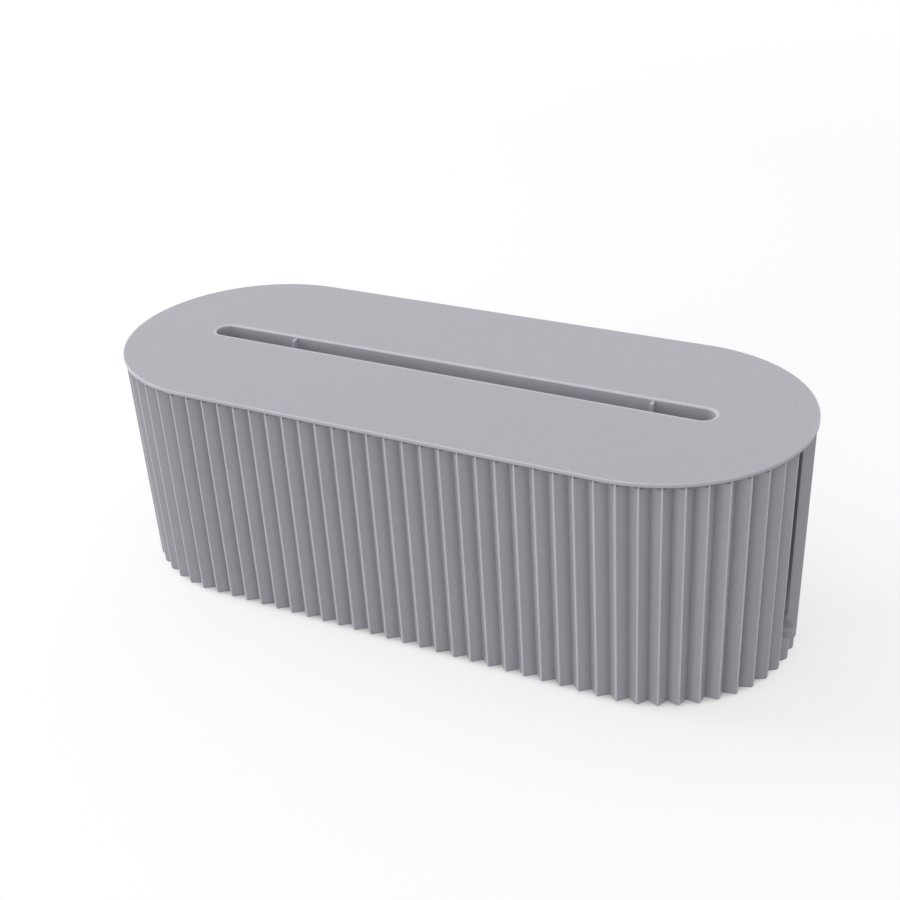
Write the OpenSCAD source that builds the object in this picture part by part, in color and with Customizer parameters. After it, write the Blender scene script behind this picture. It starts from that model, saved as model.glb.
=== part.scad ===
// Cable management box: a fluted box with round ends and a lift-off lid.
// A long slot in the lid has a trough that holds a phone on its side, with
// dividers that let a lead past. Leads leave at both ends of the slot and
// through a notch in each end of the box.
// Millimetres, +Z up. The origin is on the table, under the middle of the box,
// with +X along its length and -Y towards its front.

/* [Box] */
// Length of the box over the flute crests, at the top of its wall
box_l = 330; // [310:1:380]
// Width of the box over the flute crests, at the top of its wall
box_w = 130; // [116:1:150]
// Height of the box, from its underside to the top of its wall
box_h = 107.3; // [80:0.1:140]
// How far each wall leans in from its top to its foot
lean = 3; // [1:0.1:6]
// Thickness of the wall behind the flute valleys
wall_t = 2; // [1.5:0.1:3]
// Thickness of the floor
floor_t = 2.5; // [2:0.1:4]

/* [Flutes] */
// Width of one flute along the valley line, before it is fitted to the wall
flute_pitch = 8.46; // [6:0.1:14]
// Depth of a flute, from crest to valley
flute_depth = 4.4; // [2:0.1:5]
// Radius of a flute's crest
crest_r = 0.6; // [0.3:0.1:1]

/* [Cable notches] */
// Width of the cable notch in each end of the box, which takes out two flutes
notch_w = 17; // [12:0.5:24]
// Height of the notch's sill above the underside
sill_h = 12; // [8:1:40]
// Radius of the notch's lower corners
notch_r = 3; // [1:0.5:5]

/* [Floor vents] */
// Distance between two vent slots
vent_pitch = 22; // [12:1:40]
// Width of a vent slot
vent_w = 3; // [2:0.5:6]
// Length of a vent slot
vent_l = 50; // [20:1:70]

/* [Lid] */
// Thickness of the lid's plate
plate_t = 2; // [1.8:0.1:4]
// How far the plate stands out past the flute crests
plate_over = 0.8; // [0:0.1:3]
// Radius of the plate's rounded top edge
plate_edge_r = 0.6; // [0.3:0.1:1.6]
// Height of the skirt that locates the lid in the box
skirt_h = 7; // [4:0.5:12]
// Thickness of the skirt
skirt_t = 1.6; // [1:0.1:3]
// Clearance between the skirt's foot and the wall
skirt_gap = 0.4; // [0.3:0.1:1]
// Room left on each side of a notch where the skirt is cut away
skirt_notch_gap = 2; // [0.5:0.5:4]

/* [Slot and trough] */
// Distance from the end of the slot to the end of the plate
slot_margin = 41; // [32:1:60]
// Width of the slot
slot_w = 11; // [9:0.5:16]
// Radius of the slot's rounded top edge
slot_edge_r = 0.7; // [0.3:0.1:1.6]
// Thickness of the wall that hangs round the slot
slot_wall_t = 1.8; // [1.2:0.1:3]
// Length of the trough, over the outer faces of its dividers
trough_l = 181; // [120:1:200]
// How far the trough sits to the right of the middle of the lid
trough_shift = 6.5; // [-12:0.5:12]
// Depth of the trough below the top of the plate
trough_depth = 17.5; // [14:0.5:30]
// Thickness of the trough's floor
trough_floor_t = 2; // [1.2:0.1:4]
// Thickness of a divider
divider_t = 1.6; // [1.2:0.1:3]
// How far a divider's rib stands out from the slot's rear wall
rib_d = 3.1; // [2:0.1:5]
// How far a rib's top sits below the slot's rounded edge
rib_drop = 0.1; // [0:0.1:3]
// Depth of the gap that lets a lead past a rib, below the rib's top
lead_gap_depth = 11; // [4:0.5:13]

/* [Feet] */
// Diameter of a foot
foot_d = 14; // [8:1:20]
// Thickness of a foot
foot_t = 2; // [1:0.1:4]
// Depth of the recess that a foot is stuck in
foot_recess = 0.5; // [0.3:0.1:1]
// Clearance round a foot in its recess
foot_gap = 0.25; // [0.1:0.05:0.5]
// Distance from the middle of a foot to the end of the box
foot_from_end = 55; // [40:1:70]
// Distance from the middle of a foot to the side of the box
foot_from_side = 30; // [24:1:45]

/* [Hidden] */

// Fine enough for every circle to be a true arc
$fn = 96;
// Overlap that welds the features of one moulding together
weld = 0.4;
// How far a cut runs past the face it opens
past = 1;

plastic_color = [0.70, 0.70, 0.74];
rubber_color = [0.30, 0.30, 0.32];

// Heights above the table
z_under = foot_t - foot_recess;
z_rim = z_under + box_h;
z_top = z_rim + plate_t;

// Plan sizes of the stadium-shaped wall and plate
straight = (box_l - box_w) / 2;
crest_rad = box_w / 2;
valley_rad = crest_rad - flute_depth;
inner_rad = valley_rad - wall_t;
plate_rad = crest_rad + plate_over;

// Radius of the inner wall at a height above the underside
function inner_rad_at(h) = inner_rad - lean * (1 - h / box_h);

// The flutes are spread evenly along the valley line, in equal quarters
valley_len = 4 * straight + 2 * PI * valley_rad;
flute_count = 4 * round(valley_len / (4 * flute_pitch));
pitch = valley_len / flute_count;

// Slope of a flute's flank that starts in the valley and meets the crest's arc
flank_rise = flute_depth - crest_r;
flank_run = pitch / 2;
flank_angle = atan2(flank_rise, flank_run)
    + asin(crest_r / norm([flank_run, flank_rise]));

// One flute from valley to valley: distance along the wall and height above it
flute_profile = concat([[0, 0]],
    [for (k = [-1, 0, 1])
        [flank_run + crest_r * sin(k * flank_angle),
         flank_rise + crest_r * cos(k * flank_angle)]]);

// A point at a distance along the valley line, counted from the middle of the
// front, and moved outwards by a given amount
function wall_pt(s, out) =
    let (r = valley_rad + out, arc = PI * valley_rad, deg = 180 / arc)
    s < straight ? [s, -r] :
    s < straight + arc ?
        let (a = (s - straight) * deg) [straight + r * sin(a), -r * cos(a)] :
    s < 3 * straight + arc ? [2 * straight + arc - s, r] :
    s < 3 * straight + 2 * arc ?
        let (a = (s - 3 * straight - arc) * deg)
            [-straight - r * sin(a), r * cos(a)] :
    [s - valley_len, -r];

// The fluted outline at a height above the underside
function flute_ring(h) =
    [for (i = [0 : flute_count - 1], p = flute_profile)
        let (q = wall_pt(i * pitch + p[0], p[1] - lean * (1 - h / box_h)))
            [q[0], q[1], h]];

// Sweeps a profile, drawn as radius and height, round a stadium
module round_stadium(half_straight) {
    for (side = [-1, 1])
        translate([side * half_straight, 0, 0])
            rotate([0, 0, -side * 90])
                rotate_extrude(angle = 180)
                    children();
    rotate([90, 0, 90])
        linear_extrude(2 * half_straight, center = true) {
            children();
            mirror([1, 0]) children();
        }
}

// Solid stadium whose radius grows with height
module leaning_stadium(half_straight, r_low, r_high, h) {
    round_stadium(half_straight)
        polygon([[0, 0], [r_low, 0], [r_high, h], [0, h]]);
}

// ---- Box -----------------------------------------------------------------

// Solid block with the fluted outline, leaning in towards its foot
module fluted_block() {
    k = len(flute_profile);
    n = flute_count * k;
    polyhedron(
        points = concat(flute_ring(0), flute_ring(box_h),
            [[0, 0, 0], [0, 0, box_h]]),
        faces = [for (i = [0 : k : n - 1])
            let (j = (i + k) % n, flute = [for (q = [i : i + k - 1]) q])
            each concat(
                [concat(flute, [j]), [2 * n, i, j]],
                [concat([j + n], [for (q = [k - 1 : -1 : 0]) flute[q] + n])],
                [[2 * n + 1, j + n, i + n]],
                [for (q = flute) [q, q + n, (q + 1) % n + n]],
                [for (q = flute) [q, (q + 1) % n + n, (q + 1) % n]])]);
}

// Room inside the box, above its floor
module box_cavity() {
    translate([0, 0, floor_t])
        leaning_stadium(straight, inner_rad_at(floor_t),
            inner_rad_at(box_h + past), box_h - floor_t + past);
}

// Cut for the cable notch in the right end, open at the top
module end_notch() {
    translate([straight + inner_rad / 2, 0, sill_h])
        rotate([90, 0, 90])
            linear_extrude(crest_rad) {
                for (side = [-1, 1])
                    translate([side * (notch_w / 2 - notch_r), notch_r])
                        circle(notch_r);
                translate([notch_r - notch_w / 2, 0])
                    square([notch_w - 2 * notch_r, notch_r]);
                translate([-notch_w / 2, notch_r])
                    square([notch_w, box_h - sill_h - notch_r + past]);
            }
}

// One vent slot, cut through the floor
module vent_slot() {
    translate([0, 0, -past]) {
        translate([-vent_w / 2, -vent_l / 2 + vent_w / 2, 0])
            cube([vent_w, vent_l - vent_w, floor_t + 2 * past]);
        for (side = [-1, 1])
            translate([0, side * (vent_l - vent_w) / 2, 0])
                cylinder(d = vent_w, h = floor_t + 2 * past);
    }
}

// Hollow box with its vents and foot recesses, still without its notches
module hollow_box() {
    vents_each_side = floor((straight - vent_w) / vent_pitch);
    difference() {
        fluted_block();
        box_cavity();
        for (i = [-vents_each_side : vents_each_side])
            translate([i * vent_pitch, 0, 0]) vent_slot();
        for (sx = [-1, 1], sy = [-1, 1])
            translate([sx * foot_x, sy * foot_y, -past])
                cylinder(d = foot_d + 2 * foot_gap, h = foot_recess + past);
    }
}

module box() {
    color(plastic_color)
        translate([0, 0, z_under])
            difference() {
                hollow_box();
                for (turn = [0, 180])
                    rotate([0, 0, turn]) end_notch();
            }
}

// ---- Lid -----------------------------------------------------------------

slot_half = plate_rad + straight - slot_margin - slot_w / 2;
slot_rad = slot_w / 2;
trough_left = trough_shift - trough_l / 2;
trough_right = trough_shift + trough_l / 2;
trough_z = z_top - trough_depth;
hang_z = trough_z - trough_floor_t;
skirt_rad = inner_rad_at(box_h - skirt_h) - skirt_gap;

// Half section of the plate, with its rounded top edge
module plate_profile() {
    square([plate_rad, plate_t - plate_edge_r]);
    square([plate_rad - plate_edge_r, plate_t]);
    translate([plate_rad - plate_edge_r, plate_t - plate_edge_r])
        circle(plate_edge_r);
}

// Half section of the slot's cut, flared where it meets the top of the plate
module slot_profile() {
    translate([0, -past]) square([slot_rad, plate_t + 2 * past]);
    difference() {
        translate([0, plate_t - slot_edge_r])
            square([slot_rad + slot_edge_r, slot_edge_r + past]);
        translate([slot_rad + slot_edge_r, plate_t - slot_edge_r])
            circle(slot_edge_r);
        translate([slot_rad + slot_edge_r, plate_t - slot_edge_r])
            square([past, slot_edge_r]);
    }
}

module slotted_plate() {
    translate([0, 0, z_rim])
        difference() {
            round_stadium(straight) plate_profile();
            round_stadium(slot_half) slot_profile();
        }
}

// Skirt inside the wall, cut away where the cable notches are
module skirt() {
    gap_w = notch_w + 2 * skirt_notch_gap;
    difference() {
        translate([0, 0, z_rim - skirt_h])
            round_stadium(straight)
                translate([skirt_rad - skirt_t, 0])
                    square([skirt_t, skirt_h + weld]);
        for (turn = [0, 180])
            rotate([0, 0, turn])
                translate([straight, -gap_w / 2,
                           z_rim - skirt_h - past])
                    cube([plate_rad, gap_w, skirt_h + past]);
    }
}

// Wall that hangs round the slot, open at the bottom past the dividers
module slot_wall() {
    translate([0, 0, hang_z])
        round_stadium(slot_half)
            translate([slot_rad, 0])
                square([slot_wall_t, z_rim + weld - hang_z]);
}

module trough_floor() {
    translate([trough_left, -slot_rad - weld, hang_z])
        cube([trough_l, slot_w + 2 * weld, trough_floor_t]);
}

// Divider at the end of the trough: a low wall with a tall rib at its rear,
// which leaves a gap for a lead in front of the rib
module divider() {
    top = z_top - slot_edge_r - rib_drop;
    translate([0, -slot_rad - weld, hang_z])
        cube([divider_t, slot_w + 2 * weld, top - lead_gap_depth - hang_z]);
    translate([0, slot_rad - rib_d, hang_z]) {
        cube([divider_t, rib_d + weld, z_rim - hang_z]);
        cube([divider_t, rib_d, top - hang_z]);
    }
}

module lid() {
    color(plastic_color) {
        slotted_plate();
        skirt();
        slot_wall();
        trough_floor();
        translate([trough_left, 0, 0]) divider();
        translate([trough_right - divider_t, 0, 0]) divider();
    }
}

// ---- Feet ----------------------------------------------------------------

foot_x = box_l / 2 - foot_from_end;
foot_y = box_w / 2 - foot_from_side;

// One stick-on foot: side is -1 for left, end is -1 for the front
module foot(side, end) {
    color(rubber_color)
        translate([side * foot_x, end * foot_y, 0])
            cylinder(d = foot_d, h = foot_t);
}

box();
lid();
foot(-1, -1);  // foot_front_left
foot(1, -1);  // foot_front_right
foot(-1, 1);  // foot_rear_left
foot(1, 1);  // foot_rear_right
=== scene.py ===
"""Fluted cable management box with a slotted lift-off lid.

Every shape is a surface worked out in millimetres with numpy, in the frame of
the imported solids: +Z up, the origin on the table under the middle of the box,
+X along its length and -Y towards its front. Meshes are stored in metres.
"""

import logging
import math
from collections.abc import Callable
from dataclasses import dataclass
from enum import Enum

import bpy
import numpy as np
from mathutils import Matrix, Vector
from mathutils.geometry import delaunay_2d_cdt

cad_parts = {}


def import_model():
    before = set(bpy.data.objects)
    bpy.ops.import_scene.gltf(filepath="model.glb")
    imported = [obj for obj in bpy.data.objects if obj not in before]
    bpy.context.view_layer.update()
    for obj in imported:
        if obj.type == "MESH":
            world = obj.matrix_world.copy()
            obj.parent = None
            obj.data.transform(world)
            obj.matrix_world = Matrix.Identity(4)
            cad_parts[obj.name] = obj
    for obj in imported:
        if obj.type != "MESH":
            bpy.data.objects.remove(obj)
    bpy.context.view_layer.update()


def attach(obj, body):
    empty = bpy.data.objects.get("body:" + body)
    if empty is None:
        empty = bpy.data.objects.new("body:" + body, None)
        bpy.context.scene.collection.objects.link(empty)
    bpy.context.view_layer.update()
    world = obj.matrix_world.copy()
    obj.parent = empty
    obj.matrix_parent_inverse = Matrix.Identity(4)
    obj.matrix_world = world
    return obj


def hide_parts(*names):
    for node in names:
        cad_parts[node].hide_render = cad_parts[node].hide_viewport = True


Array = np.ndarray
Outwards = Callable[[Array, Array], Array]
Span = tuple[float, float]
Triple = tuple[float, float, float]
Socket = bpy.types.NodeSocket
Inputs = dict[str | int, object]

LOG = logging.getLogger("cable_box")
MM = 0.001
WELD_MM = 1e-4
FLAT_MM = 1e-7
# How far from a line or a face a vertex may lie and still count as on it
MARGIN_MM = 0.02
SHARP_ANGLE = math.radians(38)
# How much large faces count for more than small ones in the shading, from 50 up
LARGE_FACES = 80
# Segments round a small edge, and round a foot or its recess
EDGE_STEPS = 3
ROUND_STEPS = 64
# Steps after which the solutions by halving and by repetition stand still
HALVINGS = 48
REPEATS = 30
# Values of the edge attribute, which paints light and shade into the colour: a painted highlight
# on edges, painted shade in creases and the darkest painted shadow in narrow gaps
HIGHLIGHTED_EDGE = 1.0
SHADED_CREASE = -1.0
SHADOWED_GAP = -2.0


class End(Enum):
    """End of the box, by the sign of its X."""

    LEFT = -1
    RIGHT = 1


class Side(Enum):
    """Long side of the box, by the sign of its Y."""

    FRONT = -1
    REAR = 1


# ---------------------------------------------------------------- surfaces


def rounding(depth: Array, radius: float) -> Array:
    """Sideways shift of a rounded edge, at a depth below the end it rounds.

    The quarter circle leaves the wall at depth = radius and has moved in by
    the whole radius at depth = 0: radius - sqrt(radius^2 - (radius - depth)^2).

    Args:
        depth: Distance from the end of the wall.
        radius: Radius of the edge.

    Returns:
        The shift, zero where depth is more than radius.
    """
    reach = np.clip(1 - np.asarray(depth, float) / radius, 0, 1)
    return radius * (1 - np.sqrt(1 - reach**2))


def arc_depths(radius: float, steps: int) -> Array:
    """Depths radius * (1 - cos t) for t from 0 to 90 degrees, from the end on."""
    return radius * (1 - np.cos(np.linspace(0, np.pi / 2, steps + 1)))


def arc(centre: Span, radius: float, turn: Span, steps: int = EDGE_STEPS) -> Array:
    """Points centre + radius * (cos t, sin t), for t over a turn in degrees."""
    t = np.radians(np.linspace(*turn, steps + 1))
    return np.array(centre) + radius * np.column_stack([np.cos(t), np.sin(t)])


def merged(*parts: Array | float) -> Array:
    """Joins rows of numbers, sorts them and drops the repeated ones."""
    rows = np.sort(np.concatenate([np.atleast_1d(p) for p in parts]))
    return rows[np.concatenate([[True], np.diff(rows) > WELD_MM])]


def turned(points: Array) -> Array:
    """Points turned by half a turn about the Z axis."""
    return points * np.array([-1.0, -1.0, 1.0])


def loop_of(outline: Array, z: float) -> Array:
    """Lifts a plan outline to a height."""
    return np.column_stack([outline, np.full(len(outline), z)])


def from_spine(x: Array, y: Array, half: float) -> Array:
    """Plan distance from the middle line of a stadium, which is 2 * half long."""
    return np.hypot(x - np.clip(x, -half, half), y)


class Shell:
    """Closed surface that is put together from grids and flat caps."""

    def __init__(self) -> None:
        """Starts with no vertex and no face."""
        self.points: list[Array] = []
        self.faces: list[Array] = []
        self.count = 0

    def take(self, points: Array, faces: Array) -> None:
        """Adds vertices and the faces that index them."""
        self.points.append(points)
        self.faces.append(faces + self.count)
        self.count += len(points)

    def grid(
        self, points: Array, closed: bool = False, across: bool = False, flip: bool = False
    ) -> None:
        """Adds a grid of quads.

        A quad joins (i, j), (i, j + 1), (i + 1, j + 1) and (i + 1, j), so its
        face points along (step in j) x (step in i).

        Args:
            points: Array of rows x columns x 3.
            closed: Whether each row runs round to its first column.
            across: Whether the last row joins the first one.
            flip: Whether the faces point the other way.
        """
        rows, cols = points.shape[:2]
        i = np.arange(rows if across else rows - 1)[:, None]
        j = np.arange(cols if closed else cols - 1)[None, :]
        below, right = (i + 1) % rows, (j + 1) % cols
        quads = np.stack(
            [i * cols + j, i * cols + right, below * cols + right, below * cols + j], -1
        ).reshape(-1, 4)
        self.take(points.reshape(-1, 3), quads[:, ::-1] if flip else quads)

    def cap(self, outline: Array, holes: list[Array], z: float, up: bool) -> None:
        """Adds a flat face with holes, cut into triangles.

        The triangles are a constrained Delaunay triangulation of the outline
        and the holes, without those whose middle lies in a hole or outside.

        Args:
            outline: Plan points round the face.
            holes: Plan points round each hole.
            z: Height of the face.
            up: Whether it points up.
        """
        loops = [outline, *holes]
        edges, start = [], 0
        for loop in loops:
            n = np.arange(len(loop))
            edges += np.column_stack([start + n, start + (n + 1) % len(loop)]).tolist()
            start += len(loop)
        plan = np.concatenate(loops)
        corners = [Vector(p) for p in plan.tolist()]
        _, _, tris, sources, *_ = delaunay_2d_cdt(corners, edges, [], 0, FLAT_MM)
        flat = plan[[source[0] for source in sources]]
        tri = np.array(tris)
        middle = flat[tri].mean(1)
        keep = inside(middle, outline)
        for hole in holes:
            keep &= ~inside(middle, hole)
        tri = tri[keep]
        u, v = flat[tri[:, 1]] - flat[tri[:, 0]], flat[tri[:, 2]] - flat[tri[:, 0]]
        wrong = (u[:, 0] * v[:, 1] > u[:, 1] * v[:, 0]) != up
        tri[wrong] = tri[wrong][:, ::-1]
        self.take(loop_of(flat, z), tri)

    def disc(self, ring: Array, flip: bool = False) -> None:
        """Closes a round hole with triangles from its middle to its ring."""
        n = np.arange(len(ring))
        fan = np.column_stack([np.full(len(ring), len(ring)), n, (n + 1) % len(ring)])
        self.take(np.vstack([ring, ring.mean(0)]), fan[:, ::-1] if flip else fan)

    def mesh(self, name: str) -> bpy.types.Mesh:
        """Welds the seams and makes the mesh, in metres.

        Args:
            name: Name of the mesh.

        Returns:
            The mesh, smooth but for edges sharper than SHARP_ANGLE.
        """
        points = np.concatenate(self.points)
        key = np.round(points / WELD_MM).astype(np.int64)
        _, first, where = np.unique(key, axis=0, return_index=True, return_inverse=True)
        where = where.reshape(-1)
        rings = [drop_repeats(f) for faces in self.faces for f in where[faces].tolist()]
        mesh = bpy.data.meshes.new(name)
        mesh.from_pydata((points[first] * MM).tolist(), [], [r for r in rings if len(r) > 2])
        mesh.validate()
        mesh.shade_smooth()
        mesh.set_sharp_from_angle(angle=SHARP_ANGLE)
        return mesh


def drop_repeats(face: list[int]) -> list[int]:
    """A face's corners without those that are the same as the one before."""
    return [v for k, v in enumerate(face) if v != face[k - 1]]


def inside(points: Array, loop: Array) -> Array:
    """Which points lie inside a closed plan outline, by crossings of a ray.

    Args:
        points: Plan points.
        loop: Plan points round the outline.

    Returns:
        True for each point inside.
    """
    x, y = points[:, :1], points[:, 1:]
    x0, y0 = loop.T
    x1, y1 = np.roll(x0, -1), np.roll(y0, -1)
    crosses = (y0 > y) != (y1 > y)
    rise = np.where(y1 == y0, 1.0, y1 - y0)
    return (crosses & (x < x0 + (y - y0) * (x1 - x0) / rise)).sum(1) % 2 == 1


def paint_light_and_shade(mesh: bpy.types.Mesh, tone: Callable[[Array], Array]) -> None:
    """Stores how much painted highlight or painted shade each vertex gets: on an edge, in a crease
    or in a gap.

    Args:
        mesh: Mesh in metres.
        tone: Gives the values of the painted highlight, painted shade and painted
        shadow, a value between them or 0, from points in millimetres.
    """
    flat = np.empty(3 * len(mesh.vertices), np.float32)
    mesh.vertices.foreach_get("co", flat)
    values = tone(flat.reshape(-1, 3).astype(float) / MM).astype(np.float32)
    mesh.attributes.new("edge", "FLOAT", "POINT").data.foreach_set("value", values)


@dataclass(frozen=True)
class Stadium:
    """Plan curve of two straights joined by half circles, in millimetres."""

    half_straight: float
    radius: float

    def ring(self, straight_steps: int, arc_steps: int) -> Array:
        """Points round the curve, counter-clockwise from its front left.

        Args:
            straight_steps: Segments along each straight.
            arc_steps: Segments round each half circle.

        Returns:
            Plan points, as many for any size.
        """
        c, r = self.half_straight, self.radius
        along = np.linspace(-c, c, straight_steps, endpoint=False)
        straight = np.column_stack([along, np.full(straight_steps, -r)])
        half = np.vstack([straight, arc((c, 0), r, (-90, 90), arc_steps)[:-1]])
        return np.vstack([half, -half])


# ---------------------------------------------------------------- finishes


@dataclass(frozen=True)
class Noise:
    """Noise on Object coordinates."""

    cells_per_metre: float
    octaves: float
    finer_strength: float


class Graph:
    """Node tree of a material or a world, with the steps that the finishes share."""

    def __init__(self, owner: bpy.types.ID) -> None:
        """Opens the node tree of a material or a world."""
        owner.use_nodes = True
        self.nodes = owner.node_tree.nodes
        self.links = owner.node_tree.links

    def feed(self, node: bpy.types.Node, inputs: Inputs) -> bpy.types.Node:
        """Links or sets a node's inputs.

        Args:
            node: The node.
            inputs: A socket or a constant for each input, by its name or number.

        Returns:
            The same node.
        """
        for key, value in inputs.items():
            if isinstance(value, Socket):
                self.links.new(value, node.inputs[key])
            else:
                node.inputs[key].default_value = value
        return node

    def add(self, kind: str, inputs: Inputs) -> bpy.types.Node:
        """Adds a node of a kind with its inputs."""
        return self.feed(self.nodes.new(kind), inputs)

    def place(self) -> Socket:
        """Object coordinates."""
        return self.nodes.new("ShaderNodeTexCoord").outputs["Object"]

    def noise(self, noise: Noise) -> Socket:
        """Level of a noise, from 0 to 1."""
        inputs = {
            "Vector": self.place(),
            "Scale": noise.cells_per_metre,
            "Detail": noise.octaves,
            "Roughness": noise.finer_strength,
        }
        return self.add("ShaderNodeTexNoise", inputs).outputs["Fac"]

    def scaled(self, source: Socket, span: Span, target: Span) -> Socket:
        """Maps a value from one span to another, and holds it at their ends."""
        names = ("From Min", "From Max", "To Min", "To Max")
        ends = dict(zip(names, (*span, *target), strict=True))
        return self.add("ShaderNodeMapRange", {"Value": source, **ends}).outputs["Result"]

    def combined(self, operation: str, *values: Socket) -> Socket:
        """Puts values through a math operation."""
        node = self.nodes.new("ShaderNodeMath")
        node.operation = operation
        return self.feed(node, dict(enumerate(values))).outputs["Value"]

    def ramp(self, source: Socket, span: Span, first: Triple, last: Triple) -> Socket:
        """Colour that runs from the first to the last one over a span of the source."""
        node = self.add("ShaderNodeValToRGB", {"Fac": source})
        stops = zip(node.color_ramp.elements, span, (first, last), strict=True)
        for element, place, colour in stops:
            element.position = place
            element.color = (*colour, 1)
        return node.outputs["Color"]

    def bump(self, height: Socket, strength: float, depth: float) -> Socket:
        """Normal of a surface with a fine relief, whose depth is in metres."""
        inputs = {"Height": height, "Strength": strength, "Distance": depth}
        return self.add("ShaderNodeBump", inputs).outputs["Normal"]

    def background_rays(self) -> Socket:
        """1 for the rays that show the background: camera, glossy and transmitted ones."""
        ray = self.nodes.new("ShaderNodeLightPath").outputs
        direct = self.combined("MAXIMUM", ray["Is Camera Ray"], ray["Is Glossy Ray"])
        return self.combined("MAXIMUM", direct, ray["Is Transmission Ray"])


@dataclass(frozen=True)
class MouldedPlastic:
    """Matt moulded plastic with a fine eroded grain and a faint cloudy tone.

    Edges (edge attribute 1) get a painted highlight and are a little smoother,
    creases (-1) get painted shade and narrow gaps (-2) the darkest painted shadow.
    """

    name: str
    tint: Triple
    shade: Triple
    roughness: float = 0.44
    roughness_spread: float = 0.06
    specular: float = 0.4
    edge_polish: float = 0.1
    # Painted highlight on edges, and painted shade in creases and gaps down to its darkest level,
    # from where it starts
    edge_highlight: float = 1.3
    gap_shade: float = 0.48
    shade_start: float = -0.45
    cloud: Noise = Noise(26.0, 5.0, 0.62)
    speckle: Noise = Noise(700.0, 3.0, 0.6)
    noise_span: Span = (0.3, 0.7)
    speckle_depth: float = 0.03
    grain: Noise = Noise(2600.0, 2.0, 0.5)
    grain_depth: float = 0.00002
    grain_strength: float = 0.35

    def material(self) -> bpy.types.Material:
        """Builds the node material."""
        made = bpy.data.materials.new(self.name)
        graph = Graph(made)
        cloud, speckle = graph.noise(self.cloud), graph.noise(self.speckle)
        attribute = graph.nodes.new("ShaderNodeAttribute")
        attribute.attribute_name = "edge"
        edge = attribute.outputs["Fac"]
        # Painted highlight on edges, and painted shade in creases and gaps, from the edge
        # attribute
        light = graph.scaled(edge, (0, HIGHLIGHTED_EDGE), (1, self.edge_highlight))
        painted_shade = graph.scaled(edge, (SHADOWED_GAP, self.shade_start), (self.gap_shade, 1))
        about_one = (1 - self.speckle_depth, 1 + self.speckle_depth)
        spots = graph.scaled(speckle, self.noise_span, about_one)
        level = graph.combined("MULTIPLY", graph.combined("MULTIPLY", light, painted_shade), spots)
        colour = graph.nodes.new("ShaderNodeVectorMath")
        colour.operation = "SCALE"
        tone = graph.ramp(cloud, self.noise_span, self.shade, self.tint)
        graph.feed(colour, {"Vector": tone, "Scale": level})
        mean, spread = self.roughness, self.roughness_spread
        rough = graph.scaled(cloud, self.noise_span, (mean - spread, mean + spread))
        polish = graph.scaled(edge, (0, HIGHLIGHTED_EDGE), (0, self.edge_polish))
        grain = graph.noise(self.grain)
        finish = {
            "Base Color": colour.outputs["Vector"],
            "Roughness": graph.combined("SUBTRACT", rough, polish),
            "Specular IOR Level": self.specular,
            "Normal": graph.bump(grain, self.grain_strength, self.grain_depth),
        }
        graph.feed(graph.nodes["Principled BSDF"], finish)
        return made


@dataclass(frozen=True)
class SoftRubber:
    """Dull dark rubber with a coarse, slightly dusty skin."""

    name: str
    tint: Triple
    dust: Triple
    roughness: float = 0.82
    specular: float = 0.3
    cloud: Noise = Noise(340.0, 6.0, 0.6)
    cloud_span: Span = (0.38, 0.75)
    skin: Noise = Noise(1800.0, 3.0, 0.5)
    skin_depth: float = 0.00005
    skin_strength: float = 0.5

    def material(self) -> bpy.types.Material:
        """Builds the node material."""
        made = bpy.data.materials.new(self.name)
        graph = Graph(made)
        cloud, skin = graph.noise(self.cloud), graph.noise(self.skin)
        finish = {
            "Base Color": graph.ramp(cloud, self.cloud_span, self.tint, self.dust),
            "Roughness": self.roughness,
            "Specular IOR Level": self.specular,
            "Normal": graph.bump(skin, self.skin_strength, self.skin_depth),
        }
        graph.feed(graph.nodes["Principled BSDF"], finish)
        return made


def add_piece(
    mesh: bpy.types.Mesh, material: bpy.types.Material, body: str, slot: str, *nodes: str
) -> bpy.types.Object:
    """Links a mesh to the scene as a piece that stands for solids.

    Args:
        mesh: The piece's mesh, with its place in its vertices.
        material: Its finish.
        body: The moving body that it rides on.
        slot: The record's material slot; not used.
        *nodes: The solids that it stands for.

    Returns:
        The new object.
    """
    piece = bpy.data.objects.new(mesh.name, mesh)
    bpy.context.scene.collection.objects.link(piece)
    mesh.materials.clear()
    mesh.materials.append(material)
    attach(piece, body)
    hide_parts(*nodes)
    weigh = piece.modifiers.new("even_shading", "WEIGHTED_NORMAL")
    weigh.keep_sharp = True
    weigh.weight = LARGE_FACES
    LOG.info("%s: %d vertices, %d faces", mesh.name, len(mesh.vertices), len(mesh.polygons))
    return piece


# ---------------------------------------------------------------- the box


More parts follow.
